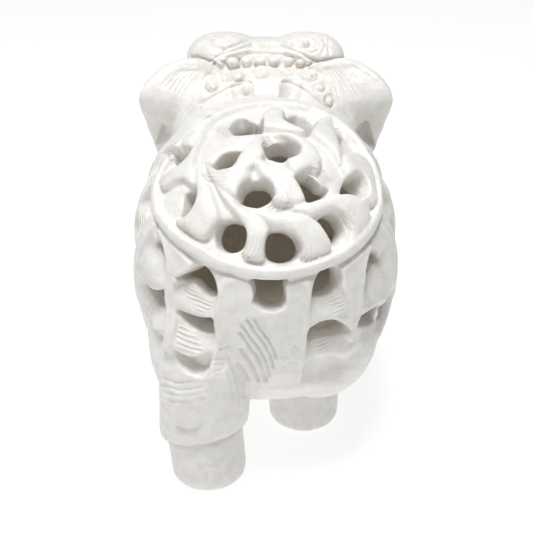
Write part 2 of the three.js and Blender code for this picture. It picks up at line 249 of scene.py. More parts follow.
# Plain forms under the drawn outlines: how far the body reaches down, thighs, upright legs
drawnOn = {
    "down": 39.5,
    "thighs": [((15.0, 26.5, 39.0), (16.5, 20.5, 25.0)), ((-14.0, 20.0, 36.0), (17.0, 21.0, 21.5))],
    "legs": [(15.6, 34.6, 12.4, 17.5, 40.0), (-11.3, 8.3, 12.2, 14.8, 40.0)],  # x, y, radius, low, high
    "nearest": 150.0,
    "furthest": 360.0,
    "step": 0.05,
}

heart = np.array(bodyEgg["heart"])
tilt = math.radians(bodyEgg["poleTilt"])
pole = np.array([0.0, math.sin(tilt), math.cos(tilt)])
chartRight = np.array([-1.0, 0.0, 0.0])
chartAhead = np.cross(pole, chartRight)


def eggReach(directions, shape):
    # distance from the heart to an egg's skin along unit directions
    power = bodyEgg["roundness"]
    alongY = np.where(directions[:, 1] > 0, shape["rear"], shape["front"])
    alongZ = np.where(directions[:, 2] > 0, shape["up"], shape["down"])
    total = (
        np.abs(directions[:, 0] / shape["halfWidth"]) ** power
        + np.abs(directions[:, 1] / alongY) ** power
        + np.abs(directions[:, 2] / alongZ) ** power
    )
    return total ** (-1 / power)


def chartToBody(x, y, lift):
    polar = np.radians(np.hypot(x, y))
    azimuth = np.arctan2(y, x)
    directions = (
        np.cos(polar)[:, None] * pole
        + (np.sin(polar) * np.cos(azimuth))[:, None] * chartRight
        + (np.sin(polar) * np.sin(azimuth))[:, None] * chartAhead
    )
    return heart + directions * (eggReach(directions, bodyEgg) + lift)[:, None]


def bodyToChart(points):
    away = points - heart
    reach = np.linalg.norm(away, axis=1)
    directions = away / reach[:, None]
    polar = np.degrees(np.arccos(np.clip(directions @ pole, -1, 1)))
    azimuth = np.arctan2(directions @ chartAhead, directions @ chartRight)
    lift = reach - eggReach(directions, bodyEgg)
    return polar * np.cos(azimuth), polar * np.sin(azimuth), lift, directions


def eyeSpot():
    up = math.radians(studio["cameraElevation"])
    return np.array(studio["target"]) + studio["cameraDistance"] * np.array([0, math.cos(up), math.sin(up)])


def viewAxes():
    # the view's forward, across and upward directions
    forward = unit(np.array(studio["target"]) - eyeSpot())
    across = np.array([-1.0, 0.0, 0.0])
    return forward, across, np.cross(across, forward)


def insideForms(points):
    # whether points lie inside the plain forms that the outlines were drawn on
    away = points - heart
    reach = np.linalg.norm(away, axis=1)
    inside = reach < eggReach(away / reach[:, None], {**bodyEgg, "down": drawnOn["down"]})
    for middle, half in drawnOn["thighs"]:
        inside |= np.linalg.norm((points - middle) / half, axis=1) < 1
    x, y, z = points.T
    for legX, legY, radius, low, high in drawnOn["legs"]:
        inside |= (np.hypot(x - legX, y - legY) < radius) & (z > low) & (z < high)
    return inside


def laidOnChart(outline):
    # chart places where the view's rays through an outline's pixels meet the body; a miss is left out
    forward, across, over = viewAxes()
    aside = (np.array(outline, float) - studio["frameWidth"] / 2) / studio["focalPixels"]
    rays = unit(forward + aside[:, :1] * across - aside[:, 1:] * over)
    reach = np.arange(drawnOn["nearest"], drawnOn["furthest"], drawnOn["step"])
    points = eyeSpot() + reach[:, None] * rays[:, None, :]
    inside = insideForms(points.reshape(-1, 3)).reshape(len(rays), -1)
    first = points[np.arange(len(rays)), inside.argmax(1)][inside.any(1)]
    return np.stack(bodyToChart(first)[:2], 1)


chart = {name: [laidOnChart(outline) for outline in outlines] for name, outlines in drawn.items()}


def bmeshPoints(bm):
    return np.array([v.co[:] for v in bm.verts])


def moveVerts(bm, points):
    for vert, point in zip(bm.verts, points):
        vert.co = point


def keep(bm, name):
    mesh = bpy.data.meshes.new(name)
    bm.to_mesh(mesh)
    bm.free()
    piece = bpy.data.objects.new(name, mesh)
    bpy.context.scene.collection.objects.link(piece)
    return piece


def applyModifier(piece, kind, **settings):
    modifier = piece.modifiers.new(kind, kind)
    for key, value in settings.items():
        setattr(modifier, key, value)
    layer = bpy.context.evaluated_depsgraph_get()
    mesh = bpy.data.meshes.new_from_object(piece.evaluated_get(layer))
    old = piece.data
    piece.modifiers.clear()
    piece.data = mesh
    bpy.data.meshes.remove(old)


def joined(bms, name):
    whole = bmesh.new()
    for bm in bms:
        scratch = bpy.data.meshes.new("scratch")
        bm.to_mesh(scratch)
        bm.free()
        whole.from_mesh(scratch)
        bpy.data.meshes.remove(scratch)
    return keep(whole, name)


def eggMesh(shape, fine):
    bm = bmesh.new()
    bmesh.ops.create_icosphere(bm, subdivisions=fine, radius=1)
    directions = unit(bmeshPoints(bm))
    moveVerts(bm, heart + directions * eggReach(directions, shape)[:, None])
    return bm


def ellipsoid(middle, half, u=48, v=32):
    bm = bmesh.new()
    bmesh.ops.create_uvsphere(bm, u_segments=u, v_segments=v, radius=1)
    bmesh.ops.scale(bm, vec=half, verts=bm.verts)
    bmesh.ops.translate(bm, vec=middle, verts=bm.verts)
    return bm


def smoothLoop(outline):
    # an outline with its corners cut twice
    loop = np.array(outline, float)
    for _ in range(2):
        after = np.roll(loop, -1, 0)
        loop = np.stack([0.78 * loop + 0.22 * after, 0.22 * loop + 0.78 * after], 1).reshape(-1, 2)
    return loop


# A hole is a prism in the flat chart, laid on the body so that it narrows to the heart
def holeCutter(outline, inner=-13.0, outer=7.0):
    loop = smoothLoop(outline)
    bm = bmesh.new()
    bmesh.ops.create_cone(bm, cap_ends=True, segments=len(loop), radius1=1, radius2=1, depth=outer - inner)
    rising = [edge for edge in bm.edges if abs(edge.verts[0].co.z - edge.verts[1].co.z) > 1]
    bmesh.ops.subdivide_edges(bm, edges=rising, cuts=6)
    points = bmeshPoints(bm)
    lift = points[:, 2] + (inner + outer) / 2
    turn = np.arctan2(points[:, 1], points[:, 0]) / (2 * math.pi)
    spots = loop[np.round(turn * len(loop)).astype(int) % len(loop)]
    middle = loop.mean(0)
    rim = smooth(*holeShape["flare"], lift)
    flare = holeShape["inside"] + (holeShape["rim"] - holeShape["inside"]) * rim
    spread = middle + (spots - middle) * flare[:, None]
    moveVerts(bm, chartToBody(spread[:, 0], spread[:, 1], lift))
    bmesh.ops.triangulate(bm, faces=bm.faces)
    bmesh.ops.recalc_face_normals(bm, faces=bm.faces)
    return bm


flank = {
    "columns": 13,
    "first": 271.0,
    "rows": (53.0, 69.0, 86.0),
    "belowRing": 6.0,
    "holeHalfWidth": 7.2,
    "holeHalfHeight": 5.6,
    "ribHalfWidth": 2.7,
    "ribFrom": 47.0,
    "ribTo": 97.0,
    "strapHalfWidth": 9.4,
    "strapHalfHeight": 3.6,
    "strapBow": 1.8,
    "strapBelow": 8.3,  # from a hole's middle to the strap's
    "sag": 1.0,
    "neckColumns": (5, 6, 7, 8),
    "slopeDepth": 2.3,
    "slopeReach": 9.0,
    "bevelDepth": 0.7,
    "bevelReach": 1.6,
    "crest": 0.3,
    "crestHalfWidth": 1.2,
    "ground": 0.25,
    "fadesOut": (90.0, 98.0),  # degrees from the pole
    "headHoles": [  # holes between the ring and the head: x, y, half sizes
        (-25.7, 32.3, 4.5, 5.0),
        (-9.6, 63.0, 5.4, 3.2),
        (10.8, 63.5, 4.6, 3.9),
    ],
    "lowest": 27.0,
    "foremost": -31.0,
    "neck": (-15.0, 74.0),
    "panel": [(-15.5, -45.5), (-17.2, -51), (-19.8, -60), (-21.5, -70), (-24, -80), (-26, -94),
              (18, -94), (18, -80), (17.4, -70), (17.2, -60), (17, -50), (15.5, -45.5)],
}


def onColumn(azimuth, across, polar):
    # a point of a flank column: degrees of arc to its side, degrees down from the pole
    angle = np.radians(azimuth) + np.radians(across) / np.sin(np.radians(polar))
    return np.stack([polar * np.cos(angle), polar * np.sin(angle)], -1)


def edgeAt(azimuth, which):
    table = np.array(ringEdges)
    return np.interp(azimuth, table[:, 0], table[:, which], period=360)


def columnParts():
    # outlines of the holes, straps and ribs that the photo doesn't show
    holes, bands, bars = [], [], []
    turn = np.linspace(0, 2 * math.pi, 14)[:-1]
    across = np.linspace(-1, 1, 9)
    step = 360 / flank["columns"]
    for column in range(3, flank["columns"] - 1):
        azimuth = flank["first"] - column * step
        rows = list(flank["rows"])
        rows[0] = min(rows[0], edgeAt(azimuth, 2) + flank["belowRing"])
        for row, polar in enumerate(rows):
            x, y = onColumn(azimuth, np.array(0.0), np.array(polar))
            spot = chartToBody(np.array([x]), np.array([y]), np.array([0.0]))[0]
            neck = spot[1] < flank["neck"][0] and spot[2] > flank["neck"][1]
            if spot[2] < flank["lowest"] or spot[1] < flank["foremost"] or neck:
                continue
            if column == flank["columns"] - 2 and row < 2 or row == 0 and column in flank["neckColumns"]:
                continue
            sag = flank["sag"] * np.cos(turn) ** 2
            holes.append(onColumn(azimuth, flank["holeHalfWidth"] * np.cos(turn),
                                  polar + flank["holeHalfHeight"] * np.sin(turn) - sag))
            bow = polar + flank["strapBelow"] + flank["strapBow"] * (0.5 - across ** 2)
            high = onColumn(azimuth, flank["strapHalfWidth"] * across, bow - flank["strapHalfHeight"])
            low = onColumn(azimuth, flank["strapHalfWidth"] * across, bow + flank["strapHalfHeight"])[::-1]
            bands.append(np.concatenate([high, low]))
    for column in range(2, flank["columns"] - 2):
        azimuth = flank["first"] - (column + 0.5) * step
        polar = np.linspace(max(flank["ribFrom"] - 6, edgeAt(azimuth, 2)), flank["ribTo"], 7)
        side = flank["ribHalfWidth"] * np.linspace(1.25, 0.9, 7)
        bars.append(np.concatenate([onColumn(azimuth, side, polar), onColumn(azimuth, -side, polar)[::-1]]))
    return holes, bands, bars


hiddenHoles, hiddenStraps, hiddenRibs = columnParts()
ovalTurn = np.linspace(0, 2 * math.pi, 13)[:-1]
neckHoles = [np.stack([x + halfWidth * np.cos(ovalTurn), y + halfHeight * np.sin(ovalTurn)], -1)
             for x, y, halfWidth, halfHeight in flank["headHoles"]]


def bodyCutters():
    cutters = [holeCutter(outline) for outline in chart["rosetteHoles"] + chart["flankHoles"]]
    cutters += [holeCutter(outline) for outline in hiddenHoles]
    cutters += [holeCutter(outline, outer=15.0) for outline in neckHoles]
    for outline, floor in zip(chart["blindHoles"], blindFloors):
        cutters.append(holeCutter(outline, inner=floor, outer=15.0))
    return joined(cutters, "cutters")


limbs = {
    "footRadius": 10.2,
    "soleRadius": 8.2,
    "legs": [  # x, y, hem height, thigh radius, top, slope of the hem along x and y, flare
        (15.6, 35.6, 15.5, 12.2, 52.0, (-0.2, 0.2), 0.9),
        (-11.3, 9.8, 14.8, 12.2, 46.0, (-0.05, 0.12), 0.0),
        (13.5, -38.0, 16.0, 12.2, 50.0, (-0.1, -0.1), 0.6),
        (-13.0, -19.0, 16.0, 12.2, 46.0, (0.1, -0.1), -0.6),
    ],
    "haunches": [  # middle, half sizes
        ((15.0, 25.8, 39.0), (16.5, 20.2, 25.0)),
        ((-14.0, 20.0, 38.0), (17.0, 19.5, 20.5)),
    ],
}


def legMesh(x, y, hem, thigh, top, slope, flare):
    sole, foot = limbs["soleRadius"], limbs["footRadius"]
    profile = [
        (0, 0), (sole, 0), (foot - 0.9, 0.5), (foot - 0.2, 1.6), (foot, 3.6),
        (foot, hem - 2.0), (foot - 0.6, hem - 1.0), (foot - 0.4, hem - 0.1),
        (foot + 1.7, hem + 0.2), (foot + 1.9, hem + 2.0),
        (thigh, hem + 12), (thigh, top - 14), (thigh * 0.7, top - 4), (0, top),
    ]
    bm = bmesh.new()
    verts = [bm.verts.new((radius, 0, height)) for radius, height in profile]
    edges = [bm.edges.new(pair) for pair in zip(verts, verts[1:])]
    bmesh.ops.spin(bm, geom=verts + edges, axis=(0, 0, 1), cent=(0, 0, 0), steps=48,
                   angle=2 * math.pi, use_merge=True)
    bmesh.ops.remove_doubles(bm, verts=bm.verts, dist=1e-4)
    bmesh.ops.recalc_face_normals(bm, faces=bm.faces)
    points = bmeshPoints(bm)
    skirt = smooth(foot * 0.45, hem, points[:, 2]) * (1 - smooth(hem + 6, hem + 16, points[:, 2]))
    points[:, 2] += skirt * (slope[0] * points[:, 0] + slope[1] * points[:, 1])
    points[:, 0] += flare * skirt
    moveVerts(bm, points + (x, y, 0))
    return bm


headShape = {
    "skull": ((0.0, -54.0, 72.5), (25.5, 16.0, 24.3), 2.6),
    "dome": ((12.8, -53.5, 88.7), (12.2, 11.2, 9.9), 2.5),
    "neck": ((0.0, -40.0, 64.0), (29.5, 15.0, 27.3), 3.2),
    "trunk": [  # y, z, radius
        (-62.0, 72.0, 14.3),
        (-69.5, 60.0, 11.8),
        (-73.5, 47.0, 9.6),
        (-74.5, 34.0, 8.0),
        (-71.5, 22.5, 6.6),
        (-65.0, 15.5, 5.6),
        (-57.5, 17.0, 4.8),
        (-54.0, 23.0, 4.1),
    ],
    "tusk": {
        "at": (11.6, -64.0, 55.0), "length": 16.0, "radius": 3.0, "tip": 1.3, "droop": 32.0, "splay": 7.0,
    },
    "wrinkles": 17,
    "wrinkleDepth": 0.025,
    "tips": 0.04,  # share of the trunk's length that each rounded end takes
    "eye": ((19.0, -65.4, 74.5), 3.0),
    "lid": ((19.2, -64.0, 74.9), (5.0, 3.2, 4.0)),
}


def softBox(middle, half, roundness):
    bm = bmesh.new()
    bmesh.ops.create_icosphere(bm, subdivisions=5, radius=1)
    points = unit(bmeshPoints(bm))
    reach = (np.abs(points) ** roundness).sum(1) ** (-1 / roundness)
    moveVerts(bm, points * reach[:, None] * half + middle)
    return bm


def catmull(stops, share):
    # a point on a smooth line through the stops, share from 0 to 1
    stops = np.array(stops, float)
    spot = np.clip(share, 0, 1) * (len(stops) - 1)
    low = np.minimum(spot.astype(int), len(stops) - 2)
    t = (spot - low)[:, None]
    p0, p1 = stops[np.maximum(low - 1, 0)], stops[low]
    p2, p3 = stops[low + 1], stops[np.minimum(low + 2, len(stops) - 1)]
    return 0.5 * (2 * p1 + (p2 - p0) * t + (2 * p0 - 5 * p1 + 4 * p2 - p3) * t ** 2
                  + (3 * p1 - p0 - 3 * p2 + p3) * t ** 3)


def trunkMesh():
    bm = bmesh.new()
    bmesh.ops.create_uvsphere(bm, u_segments=40, v_segments=90, radius=1)
    points = bmeshPoints(bm)
    polar = np.arccos(np.clip(points[:, 2], -1, 1)) / math.pi
    tips = headShape["tips"]
    share = np.clip((polar - tips) / (1 - 2 * tips), 0, 1)
    line = catmull(headShape["trunk"], share)
    step = catmull(headShape["trunk"], share + 0.005) - catmull(headShape["trunk"], share - 0.005)
    ty, tz = step[:, 0], step[:, 1]
    size = np.hypot(ty, tz) + 1e-9
    ty, tz = ty / size, tz / size
    ring = np.hypot(points[:, 0], points[:, 1]) + 1e-9
    cap = np.clip(np.minimum(polar, 1 - polar) / tips, 0, 1)
    wave = np.maximum(0, np.sin(share * 2 * math.pi * headShape["wrinkles"]))
    wrinkle = 1 - headShape["wrinkleDepth"] * wave ** 6
    radius = line[:, 2] * np.sqrt(1 - (1 - cap) ** 2) * wrinkle
    x = points[:, 0] / ring * radius
    out = points[:, 1] / ring * radius
    along = np.where(polar > 0.5, 1, -1) * (1 - cap) * 2
    moveVerts(bm, np.stack([x, line[:, 0] - tz * out + ty * along, line[:, 1] + ty * out + tz * along], 1))
    bmesh.ops.recalc_face_normals(bm, faces=bm.faces)
    return bm


earShape = {
    "y": -39.0,
    "thickness": 6.0,
    "fold": (85.0, 4.2, 9.0),  # height at the tip, depth, spread
    "foldSlope": 0.26,
    "tip": 38.0,
    "middle": (24.0, 70.0),
    "rim": [  # angle in the plane across the body, reach from the middle
        (-125, 12.2), (-97.4, 23.0), (-88, 25.0), (-77.7, 21.5), (-62, 15.0), (-35.3, 10.8), (0, 11.0),
        (26, 14.0), (36, 17.0), (45.5, 20.6), (60.6, 22.4), (75.7, 23.6), (90, 25.0), (111, 24.0),
        (130, 22.0), (150, 17.0), (180, 12.0),
    ],
}


def earReach(angle):
    angles = np.array([a for a, _ in earShape["rim"]] + [earShape["rim"][0][0] + 360], float)
    reaches = np.array([r for _, r in earShape["rim"]] + [earShape["rim"][0][1]], float)
    table = np.arange(-180, 180, 2.0)
    wrapped = np.where(table < angles[0], table + 360, table)
    values = np.interp(wrapped, angles, reaches)
    soft = sum(np.roll(values, k) for k in (-2, -1, 0, 1, 2)) / 5
    return np.interp(angle, np.append(table, 180), np.append(soft, soft[0]))


def earMesh(side):
    bm = bmesh.new()
    bmesh.ops.create_uvsphere(bm, u_segments=96, v_segments=48, radius=1)
    points = bmeshPoints(bm)
    out = np.hypot(points[:, 0], points[:, 1])
    angle = np.degrees(np.arctan2(points[:, 1], points[:, 0]))
    reach = out * earReach(angle)
    x = earShape["middle"][0] + reach * np.cos(np.radians(angle))
    z = earShape["middle"][1] + reach * np.sin(np.radians(angle))
    thick = earShape["thickness"] / 2 * np.sign(points[:, 2]) * np.abs(points[:, 2]) ** 0.45
    # the fan is folded along a line that falls to the neck: it faces up above it and down below it
    crease, height, spread = earShape["fold"]
    fall = crease - earShape["foldSlope"] * (earShape["tip"] - x)
    fold = height * np.exp(-((z - fall) / spread) ** 2) - 2.0 * smooth(2, 14, z - fall)
    y = earShape["y"] + thick + np.where(points[:, 2] > 0, fold, 0.5 * fold)
    moveVerts(bm, np.stack([side * x, y, z], 1))
    bmesh.ops.recalc_face_normals(bm, faces=bm.faces)
    return bm


def tuskMesh(side):
    tusk = headShape["tusk"]
    bm = bmesh.new()
    bmesh.ops.create_cone(bm, cap_ends=True, segments=24, radius1=tusk["radius"], radius2=tusk["tip"],
                          depth=tusk["length"])
    bmesh.ops.translate(bm, vec=(0, 0, tusk["length"] / 2), verts=bm.verts)
    bmesh.ops.rotate(bm, cent=(0, 0, 0), matrix=Matrix.Rotation(math.radians(90 + tusk["droop"]), 3, "X"),
                     verts=bm.verts)
    bmesh.ops.rotate(bm, cent=(0, 0, 0), matrix=Matrix.Rotation(math.radians(side * tusk["splay"]), 3, "Z"),
                     verts=bm.verts)
    x, y, z = tusk["at"]
    bmesh.ops.translate(bm, vec=(side * x, y, z), verts=bm.verts)
    return bm


def loopDepth(x, y, outline, margin=6.0):
    # distance inside an outline, negative outside it and no further than the margin
    loop = smoothLoop(outline)
    low, high = loop.min(0) - margin, loop.max(0) + margin
    near = np.flatnonzero((x > low[0]) & (x < high[0]) & (y > low[1]) & (y < high[1]))
    px, py = x[near], y[near]
    best = np.full(len(near), margin ** 2)
    inside = np.zeros(len(near), bool)
    for (ax, ay), (bx, by) in zip(loop, np.roll(loop, -1, 0)):
        dx, dy = bx - ax, by - ay
        share = np.clip(((px - ax) * dx + (py - ay) * dy) / (dx * dx + dy * dy + 1e-9), 0, 1)
        best = np.minimum(best, (px - ax - share * dx) ** 2 + (py - ay - share * dy) ** 2)
        if dy:
            inside ^= ((ay > py) != (by > py)) & (px < ax + (py - ay) * dx / dy)
    depth = np.full(len(x), -margin)
    depth[near] = np.where(inside, 1, -1) * np.sqrt(best)
    return depth


def deepest(x, y, outlines, margin=6.0):
    depth = np.full(len(x), -margin)
    for outline in outlines:
        depth = np.maximum(depth, loopDepth(x, y, outline, margin))
    return depth


def dome(radius):
    # a half ball's height, one at the middle and nought from radius one on
    return np.sqrt(np.clip(1 - radius ** 2, 0, 1))


def bandProfile(distance, halfWidth):
    return np.clip(1 - (distance / halfWidth) ** 2, 0, 1) ** 0.6


def pillow(depth, up, swell, down, edge):
    # a pillow inside an outline and sunk ground outside it, with a crisp edge between
    within = np.maximum(depth, 0)
    inside = up * (1 - np.exp(-within / edge)) + swell * (1 - np.exp(-within / 3))
    return inside - down * (1 - np.exp(np.minimum(depth, 0) / edge))


rosette = {
    "petalHeight": 0.95,
    "petalDome": 0.5,
    "petalEdge": 0.45,
    "outline": 0.45,
    "groundDepth": 0.6,
    "scoopDepth": 0.85,
    "scoopReach": 3.0,
    "ringHeight": 1.25,
    "ringGroove": 0.75,
    "ringGrooveHalfWidth": 1.0,
    "ringLip": 0.35,
    "ringLipHalfWidth": 0.9,
    "outlineHalfWidth": 0.9,
}

strokes = {
    "pitch": 1.25,
    "reach": 6.0,
    "sector": 0.62,
    "hub": (1, -9),  # what the strokes beside the inner holes look away from
    "outerHub": (2, -4),
    "outerHoles": 9,
    "strapBand": (0.9, 4.2),
    "patches": (0.35, 0.28),  # how often the strokes on the straps come and go along x and y
}


def skinRelief(x, y):
    # height in millimetres of the carving over the egg's skin, and the fine strokes on it
    out = np.hypot(x, y)
    azimuth = np.degrees(np.arctan2(y, x))
    inner, outer = edgeAt(azimuth, 1), edgeAt(azimuth, 2)
    within = 1 - smooth(-0.3, 0.5, out - inner)
    beyond = smooth(-0.5, 0.3, out - outer)
    middle, half = (inner + outer) / 2, (outer - inner) / 2
    ring = rosette["ringHeight"] * bandProfile(np.abs(out - middle), half)
    ring -= rosette["ringGroove"] * bandProfile(np.abs(out - outer - 0.7), rosette["ringGrooveHalfWidth"])
    ring += rosette["ringLip"] * bandProfile(np.abs(out - inner - 0.9), rosette["ringLipHalfWidth"])

    tongue = deepest(x, y, chart["tongues"])
    hole = -deepest(x, y, chart["rosetteHoles"])
    scoop = rosette["scoopDepth"] * np.exp(-np.maximum(hole, 0) / rosette["scoopReach"])
    flower = pillow(tongue, rosette["petalHeight"], rosette["petalDome"], rosette["groundDepth"],
                    rosette["petalEdge"]) - scoop * (1 - smooth(-1.5, 0.3, tongue))
    line = rosette["outlineHalfWidth"]
    flower -= rosette["outline"] * bandProfile(np.abs(tongue + line), line)

    strap = deepest(x, y, chart["straps"] + hiddenStraps)
    bar = deepest(x, y, chart["ribs"] + hiddenRibs + [flank["panel"]])
    sunk = np.zeros_like(x)
    for outline in chart["flankHoles"] + hiddenHoles + chart["blindHoles"]:
        gap = -loopDepth(x, y, outline, flank["slopeReach"])
        hx, hy = np.mean(outline, 0)
        size = math.hypot(hx, hy)
        down = ((x - hx) * hx + (y - hy) * hy) / (size * (np.hypot(x - hx, y - hy) + 1e-9))
        slope = flank["slopeDepth"] * (1 - smooth(-1.0, flank["slopeReach"], gap))
        slope *= smooth(-0.35, 0.35, down)
        bevel = flank["bevelDepth"] * np.exp(-np.maximum(gap, 0) / flank["bevelReach"])
        sunk = np.maximum(sunk, np.maximum(slope, bevel))
    sunk *= 1 - smooth(-0.9, 0.3, bar)
    crest = flank["crest"] * bandProfile(np.abs(bar - 0.9), flank["crestHalfWidth"])
    sides = crest - sunk - flank["ground"] * (1 - smooth(-0.8, 0.2, np.maximum(strap, bar)))
    sides *= 1 - smooth(*flank["fadesOut"], out)

    phase = np.zeros_like(x)
    mask = np.zeros_like(x)
    for number, outline in enumerate(chart["rosetteHoles"]):
        centre = strokes["outerHub"] if number < strokes["outerHoles"] else strokes["hub"]
        hx, hy = np.mean(outline, 0)
        away = math.atan2(hy - centre[1], hx - centre[0]) + math.pi / 2
        turn = np.angle(np.exp(1j * (np.arctan2(y - hy, x - hx) - away)))
        gap = -loopDepth(x, y, outline, strokes["reach"] + 1)
        here = smooth(0.2, 0.8, gap) * (1 - smooth(strokes["reach"] - 1, strokes["reach"], gap))
        here *= 1 - smooth(strokes["sector"] - 0.15, strokes["sector"], np.abs(turn))
        take = here * within > mask
        phase = np.where(take, gap / strokes["pitch"], phase)
        mask = np.where(take, here * within, mask)
    low, high = strokes["strapBand"]
    here = beyond * smooth(low, low + 0.4, strap) * (1 - smooth(high - 0.6, high, strap)) * (strap > bar)
    here *= smooth(0.15, 0.5, np.sin(x * strokes["patches"][0] + y * strokes["patches"][1]))
    phase = np.where(out > middle, out / strokes["pitch"], phase)
    mask = np.maximum(mask, here)
    return ring + within * flower + beyond * sides, phase, mask


# Slow unevenness of a hand-cut surface: turns per millimetre along x, y and z, and height
wobbles = [
    (0.21, 0.17, 0.13, 0.10),
    (0.37, -0.29, 0.33, 0.07),
    (-0.71, 0.62, 0.55, 0.045),
    (1.3, 1.1, -1.2, 0.025),
]


def handWobble(points):
    x, y, z = points.T
    total = np.zeros(len(points))
    for k, (a, b, c, size) in enumerate(wobbles):
        total += size * np.sin(x * a + 1.7 * k) * np.sin(y * b + 0.9 * k + 1) * np.sin(z * c + 2.3 * k)
    return total


def elephantShell():
    solids = [softBox(*headShape["skull"]), trunkMesh(), softBox(*headShape["neck"])]
    for leg in limbs["legs"]:
        solids.append(legMesh(*leg))
    for middle, half in limbs["haunches"]:
        solids.append(ellipsoid(middle, half))
    for side in (1, -1):
        (x, y, z), half, roundness = headShape["dome"]
        solids.append(softBox((side * x, y, z), half, roundness))
        solids.append(earMesh(side))
        solids.append(tuskMesh(side))
        (x, y, z), radius = headShape["eye"]
        solids.append(ellipsoid((side * x, y, z), (radius,) * 3, 24, 16))
        (x, y, z), half = headShape["lid"]
        solids.append(ellipsoid((side * x, y, z), half, 24, 16))
    solids.append(eggMesh(bodyEgg, 6))
    shell = joined(solids, "elephant_carving")
    applyModifier(shell, "REMESH", mode="VOXEL", voxel_size=remeshSize)
    print("joined block", len(shell.data.polygons))
    raiseRelief(shell)
    hollow = joined([eggMesh(hollowEgg, 4)], "hollow")
    cutters = bodyCutters()
    for tool in (hollow, cutters):
        applyModifier(shell, "BOOLEAN", operation="DIFFERENCE", object=tool, solver="MANIFOLD")
        bpy.data.objects.remove(tool)
    print("pierced", len(shell.data.polygons))
    applyModifier(shell, "REMESH", mode="VOXEL", voxel_size=remeshSize)
    applyModifier(shell, "SMOOTH", factor=0.5, iterations=1)
    print("remeshed", len(shell.data.polygons))
    return shell


def meshPoints(mesh):
    points = np.empty(len(mesh.vertices) * 3)
    mesh.vertices.foreach_get("co", points)
    return points.reshape(-1, 3)


def meshNormals(mesh):
    normals = np.empty(len(mesh.vertices) * 3)
    mesh.vertex_normals.foreach_get("vector", normals)
    return normals.reshape(-1, 3)


def toPhoto(points):
    # where figure points fall in the 533 by 533 view
    forward, across, over = viewAxes()
    away = points - eyeSpot()
    depth = away @ forward
    scale = studio["focalPixels"] / depth
    half = studio["frameWidth"] / 2
    return half + (away @ across) * scale, half - (away @ over) * scale


def lineGap(u, v, line, margin=8.0):
    # distance from an open line
    line = np.array(line, float)
    low, high = line.min(0) - margin, line.max(0) + margin
    near = np.flatnonzero((u > low[0]) & (u < high[0]) & (v > low[1]) & (v < high[1]))
    best = np.full(len(near), margin ** 2)
    for (ax, ay), (bx, by) in zip(line, line[1:]):
        dx, dy = bx - ax, by - ay
        share = np.clip(((u[near] - ax) * dx + (v[near] - ay) * dy) / (dx * dx + dy * dy + 1e-9), 0, 1)
        best = np.minimum(best, (u[near] - ax - share * dx) ** 2 + (v[near] - ay - share * dy) ** 2)
    gap = np.full(len(u), margin)
    gap[near] = np.sqrt(best)
    return gap


rearPanel = {
    # in the pixels of the 533 by 533 view
    "comb": [
        [(254, 320), (260, 331), (268, 341), (273, 350), (276, 358)],
        [(247, 321), (255, 334), (264, 345), (270, 356), (273, 368)],
        [(241, 326), (250, 339), (259, 350), (266, 363), (269, 375)],
        [(240, 334), (249, 348), (257, 358), (262, 369), (266, 381)],
        [(240, 349), (247, 359), (253, 369), (258, 381)],
        [(237, 363), (243, 371), (248, 380)],
    ],
    "combDepth": 1.15,
    "combWidth": 1.5,
    "lowerComb": [
        [(232, 368), (236, 378), (239, 390), (240, 404)],
        [(228, 374), (231, 384), (233, 394)],
        [(243, 374), (245, 384), (246, 397)],
        [(249, 384), (250, 392), (250, 401)],
        [(254, 386), (255, 396)],
        [(161, 377), (175, 383), (196, 382)], [(162, 385), (180, 391), (202, 388)],
        [(164, 392), (185, 398), (209, 393)], [(170, 401), (190, 405), (206, 401)],
        [(196, 372), (204, 377), (213, 375)],
    ],
    "lowerDepth": 0.4,
    "lowerWidth": 1.3,
    "ticks": [
        [(220, 345), (229, 341)], [(220, 350), (230, 346)], [(211, 360.5), (225, 359)],
        [(213, 366), (225, 364)], [(211, 372), (223, 370)], [(216, 377), (222, 376)],
    ],
    "tickDepth": 0.35,
    "tickWidth": 0.9,
    "dots": [(290, 345), (296, 347), (287, 352), (294, 352), (299, 350), (288, 357), (296, 357), (291, 362),
             (296, 362), (285, 358), (283, 366), (279, 372), (266, 328)],
    "dotDepth": 0.4,
    "edge": [(231, 338), (229.5, 342), (232, 346), (229, 350), (227, 353), (230, 358), (225, 363),
             (226, 367), (221.5, 371), (223, 378), (219, 383), (218, 389), (212, 394), (211, 399),
             (204, 403)],
    "edgeStep": 0.55,
    "crescent": (189.5, 437.0, 15.0, 6.5),
    "crescentDepth": 1.3,
}


def rearMarks(u, v):
    # combed strokes, a notched edge and a crescent cut on the near haunch, drawn in the view
    height = np.zeros_like(u)
    for lines, size in (("comb", "comb"), ("lowerComb", "lower"), ("ticks", "tick")):
        for line in rearPanel[lines]:
            groove = np.exp(-(lineGap(u, v, line) / rearPanel[size + "Width"]) ** 2)
            height -= rearPanel[size + "Depth"] * groove
    for du, dv in rearPanel["dots"]:
        height -= rearPanel["dotDepth"] * np.exp(-((u - du) ** 2 + (v - dv) ** 2) / 1.6)
    edge = np.array(rearPanel["edge"])
    across = u - np.interp(v, edge[:, 1], edge[:, 0])
    along = smooth(edge[0, 1] - 3, edge[0, 1] + 1, v) * (1 - smooth(edge[-1, 1] - 2, edge[-1, 1] + 2, v))
    height += rearPanel["edgeStep"] * along * smooth(-0.8, 0.8, across) * np.exp(-np.maximum(across, 0) / 9)
    cu, cv, halfU, halfV = rearPanel["crescent"]
    below = (v - cv) / halfV + ((u - cu) / halfU) ** 2 * 1.1
    reach = 1 - smooth(0.8, 1.0, np.abs(u - cu) / halfU)
    cut = smooth(-1.15, -0.85, below) * (1 - smooth(-0.8, 1.2, below))
    return height - rearPanel["crescentDepth"] * cut * reach


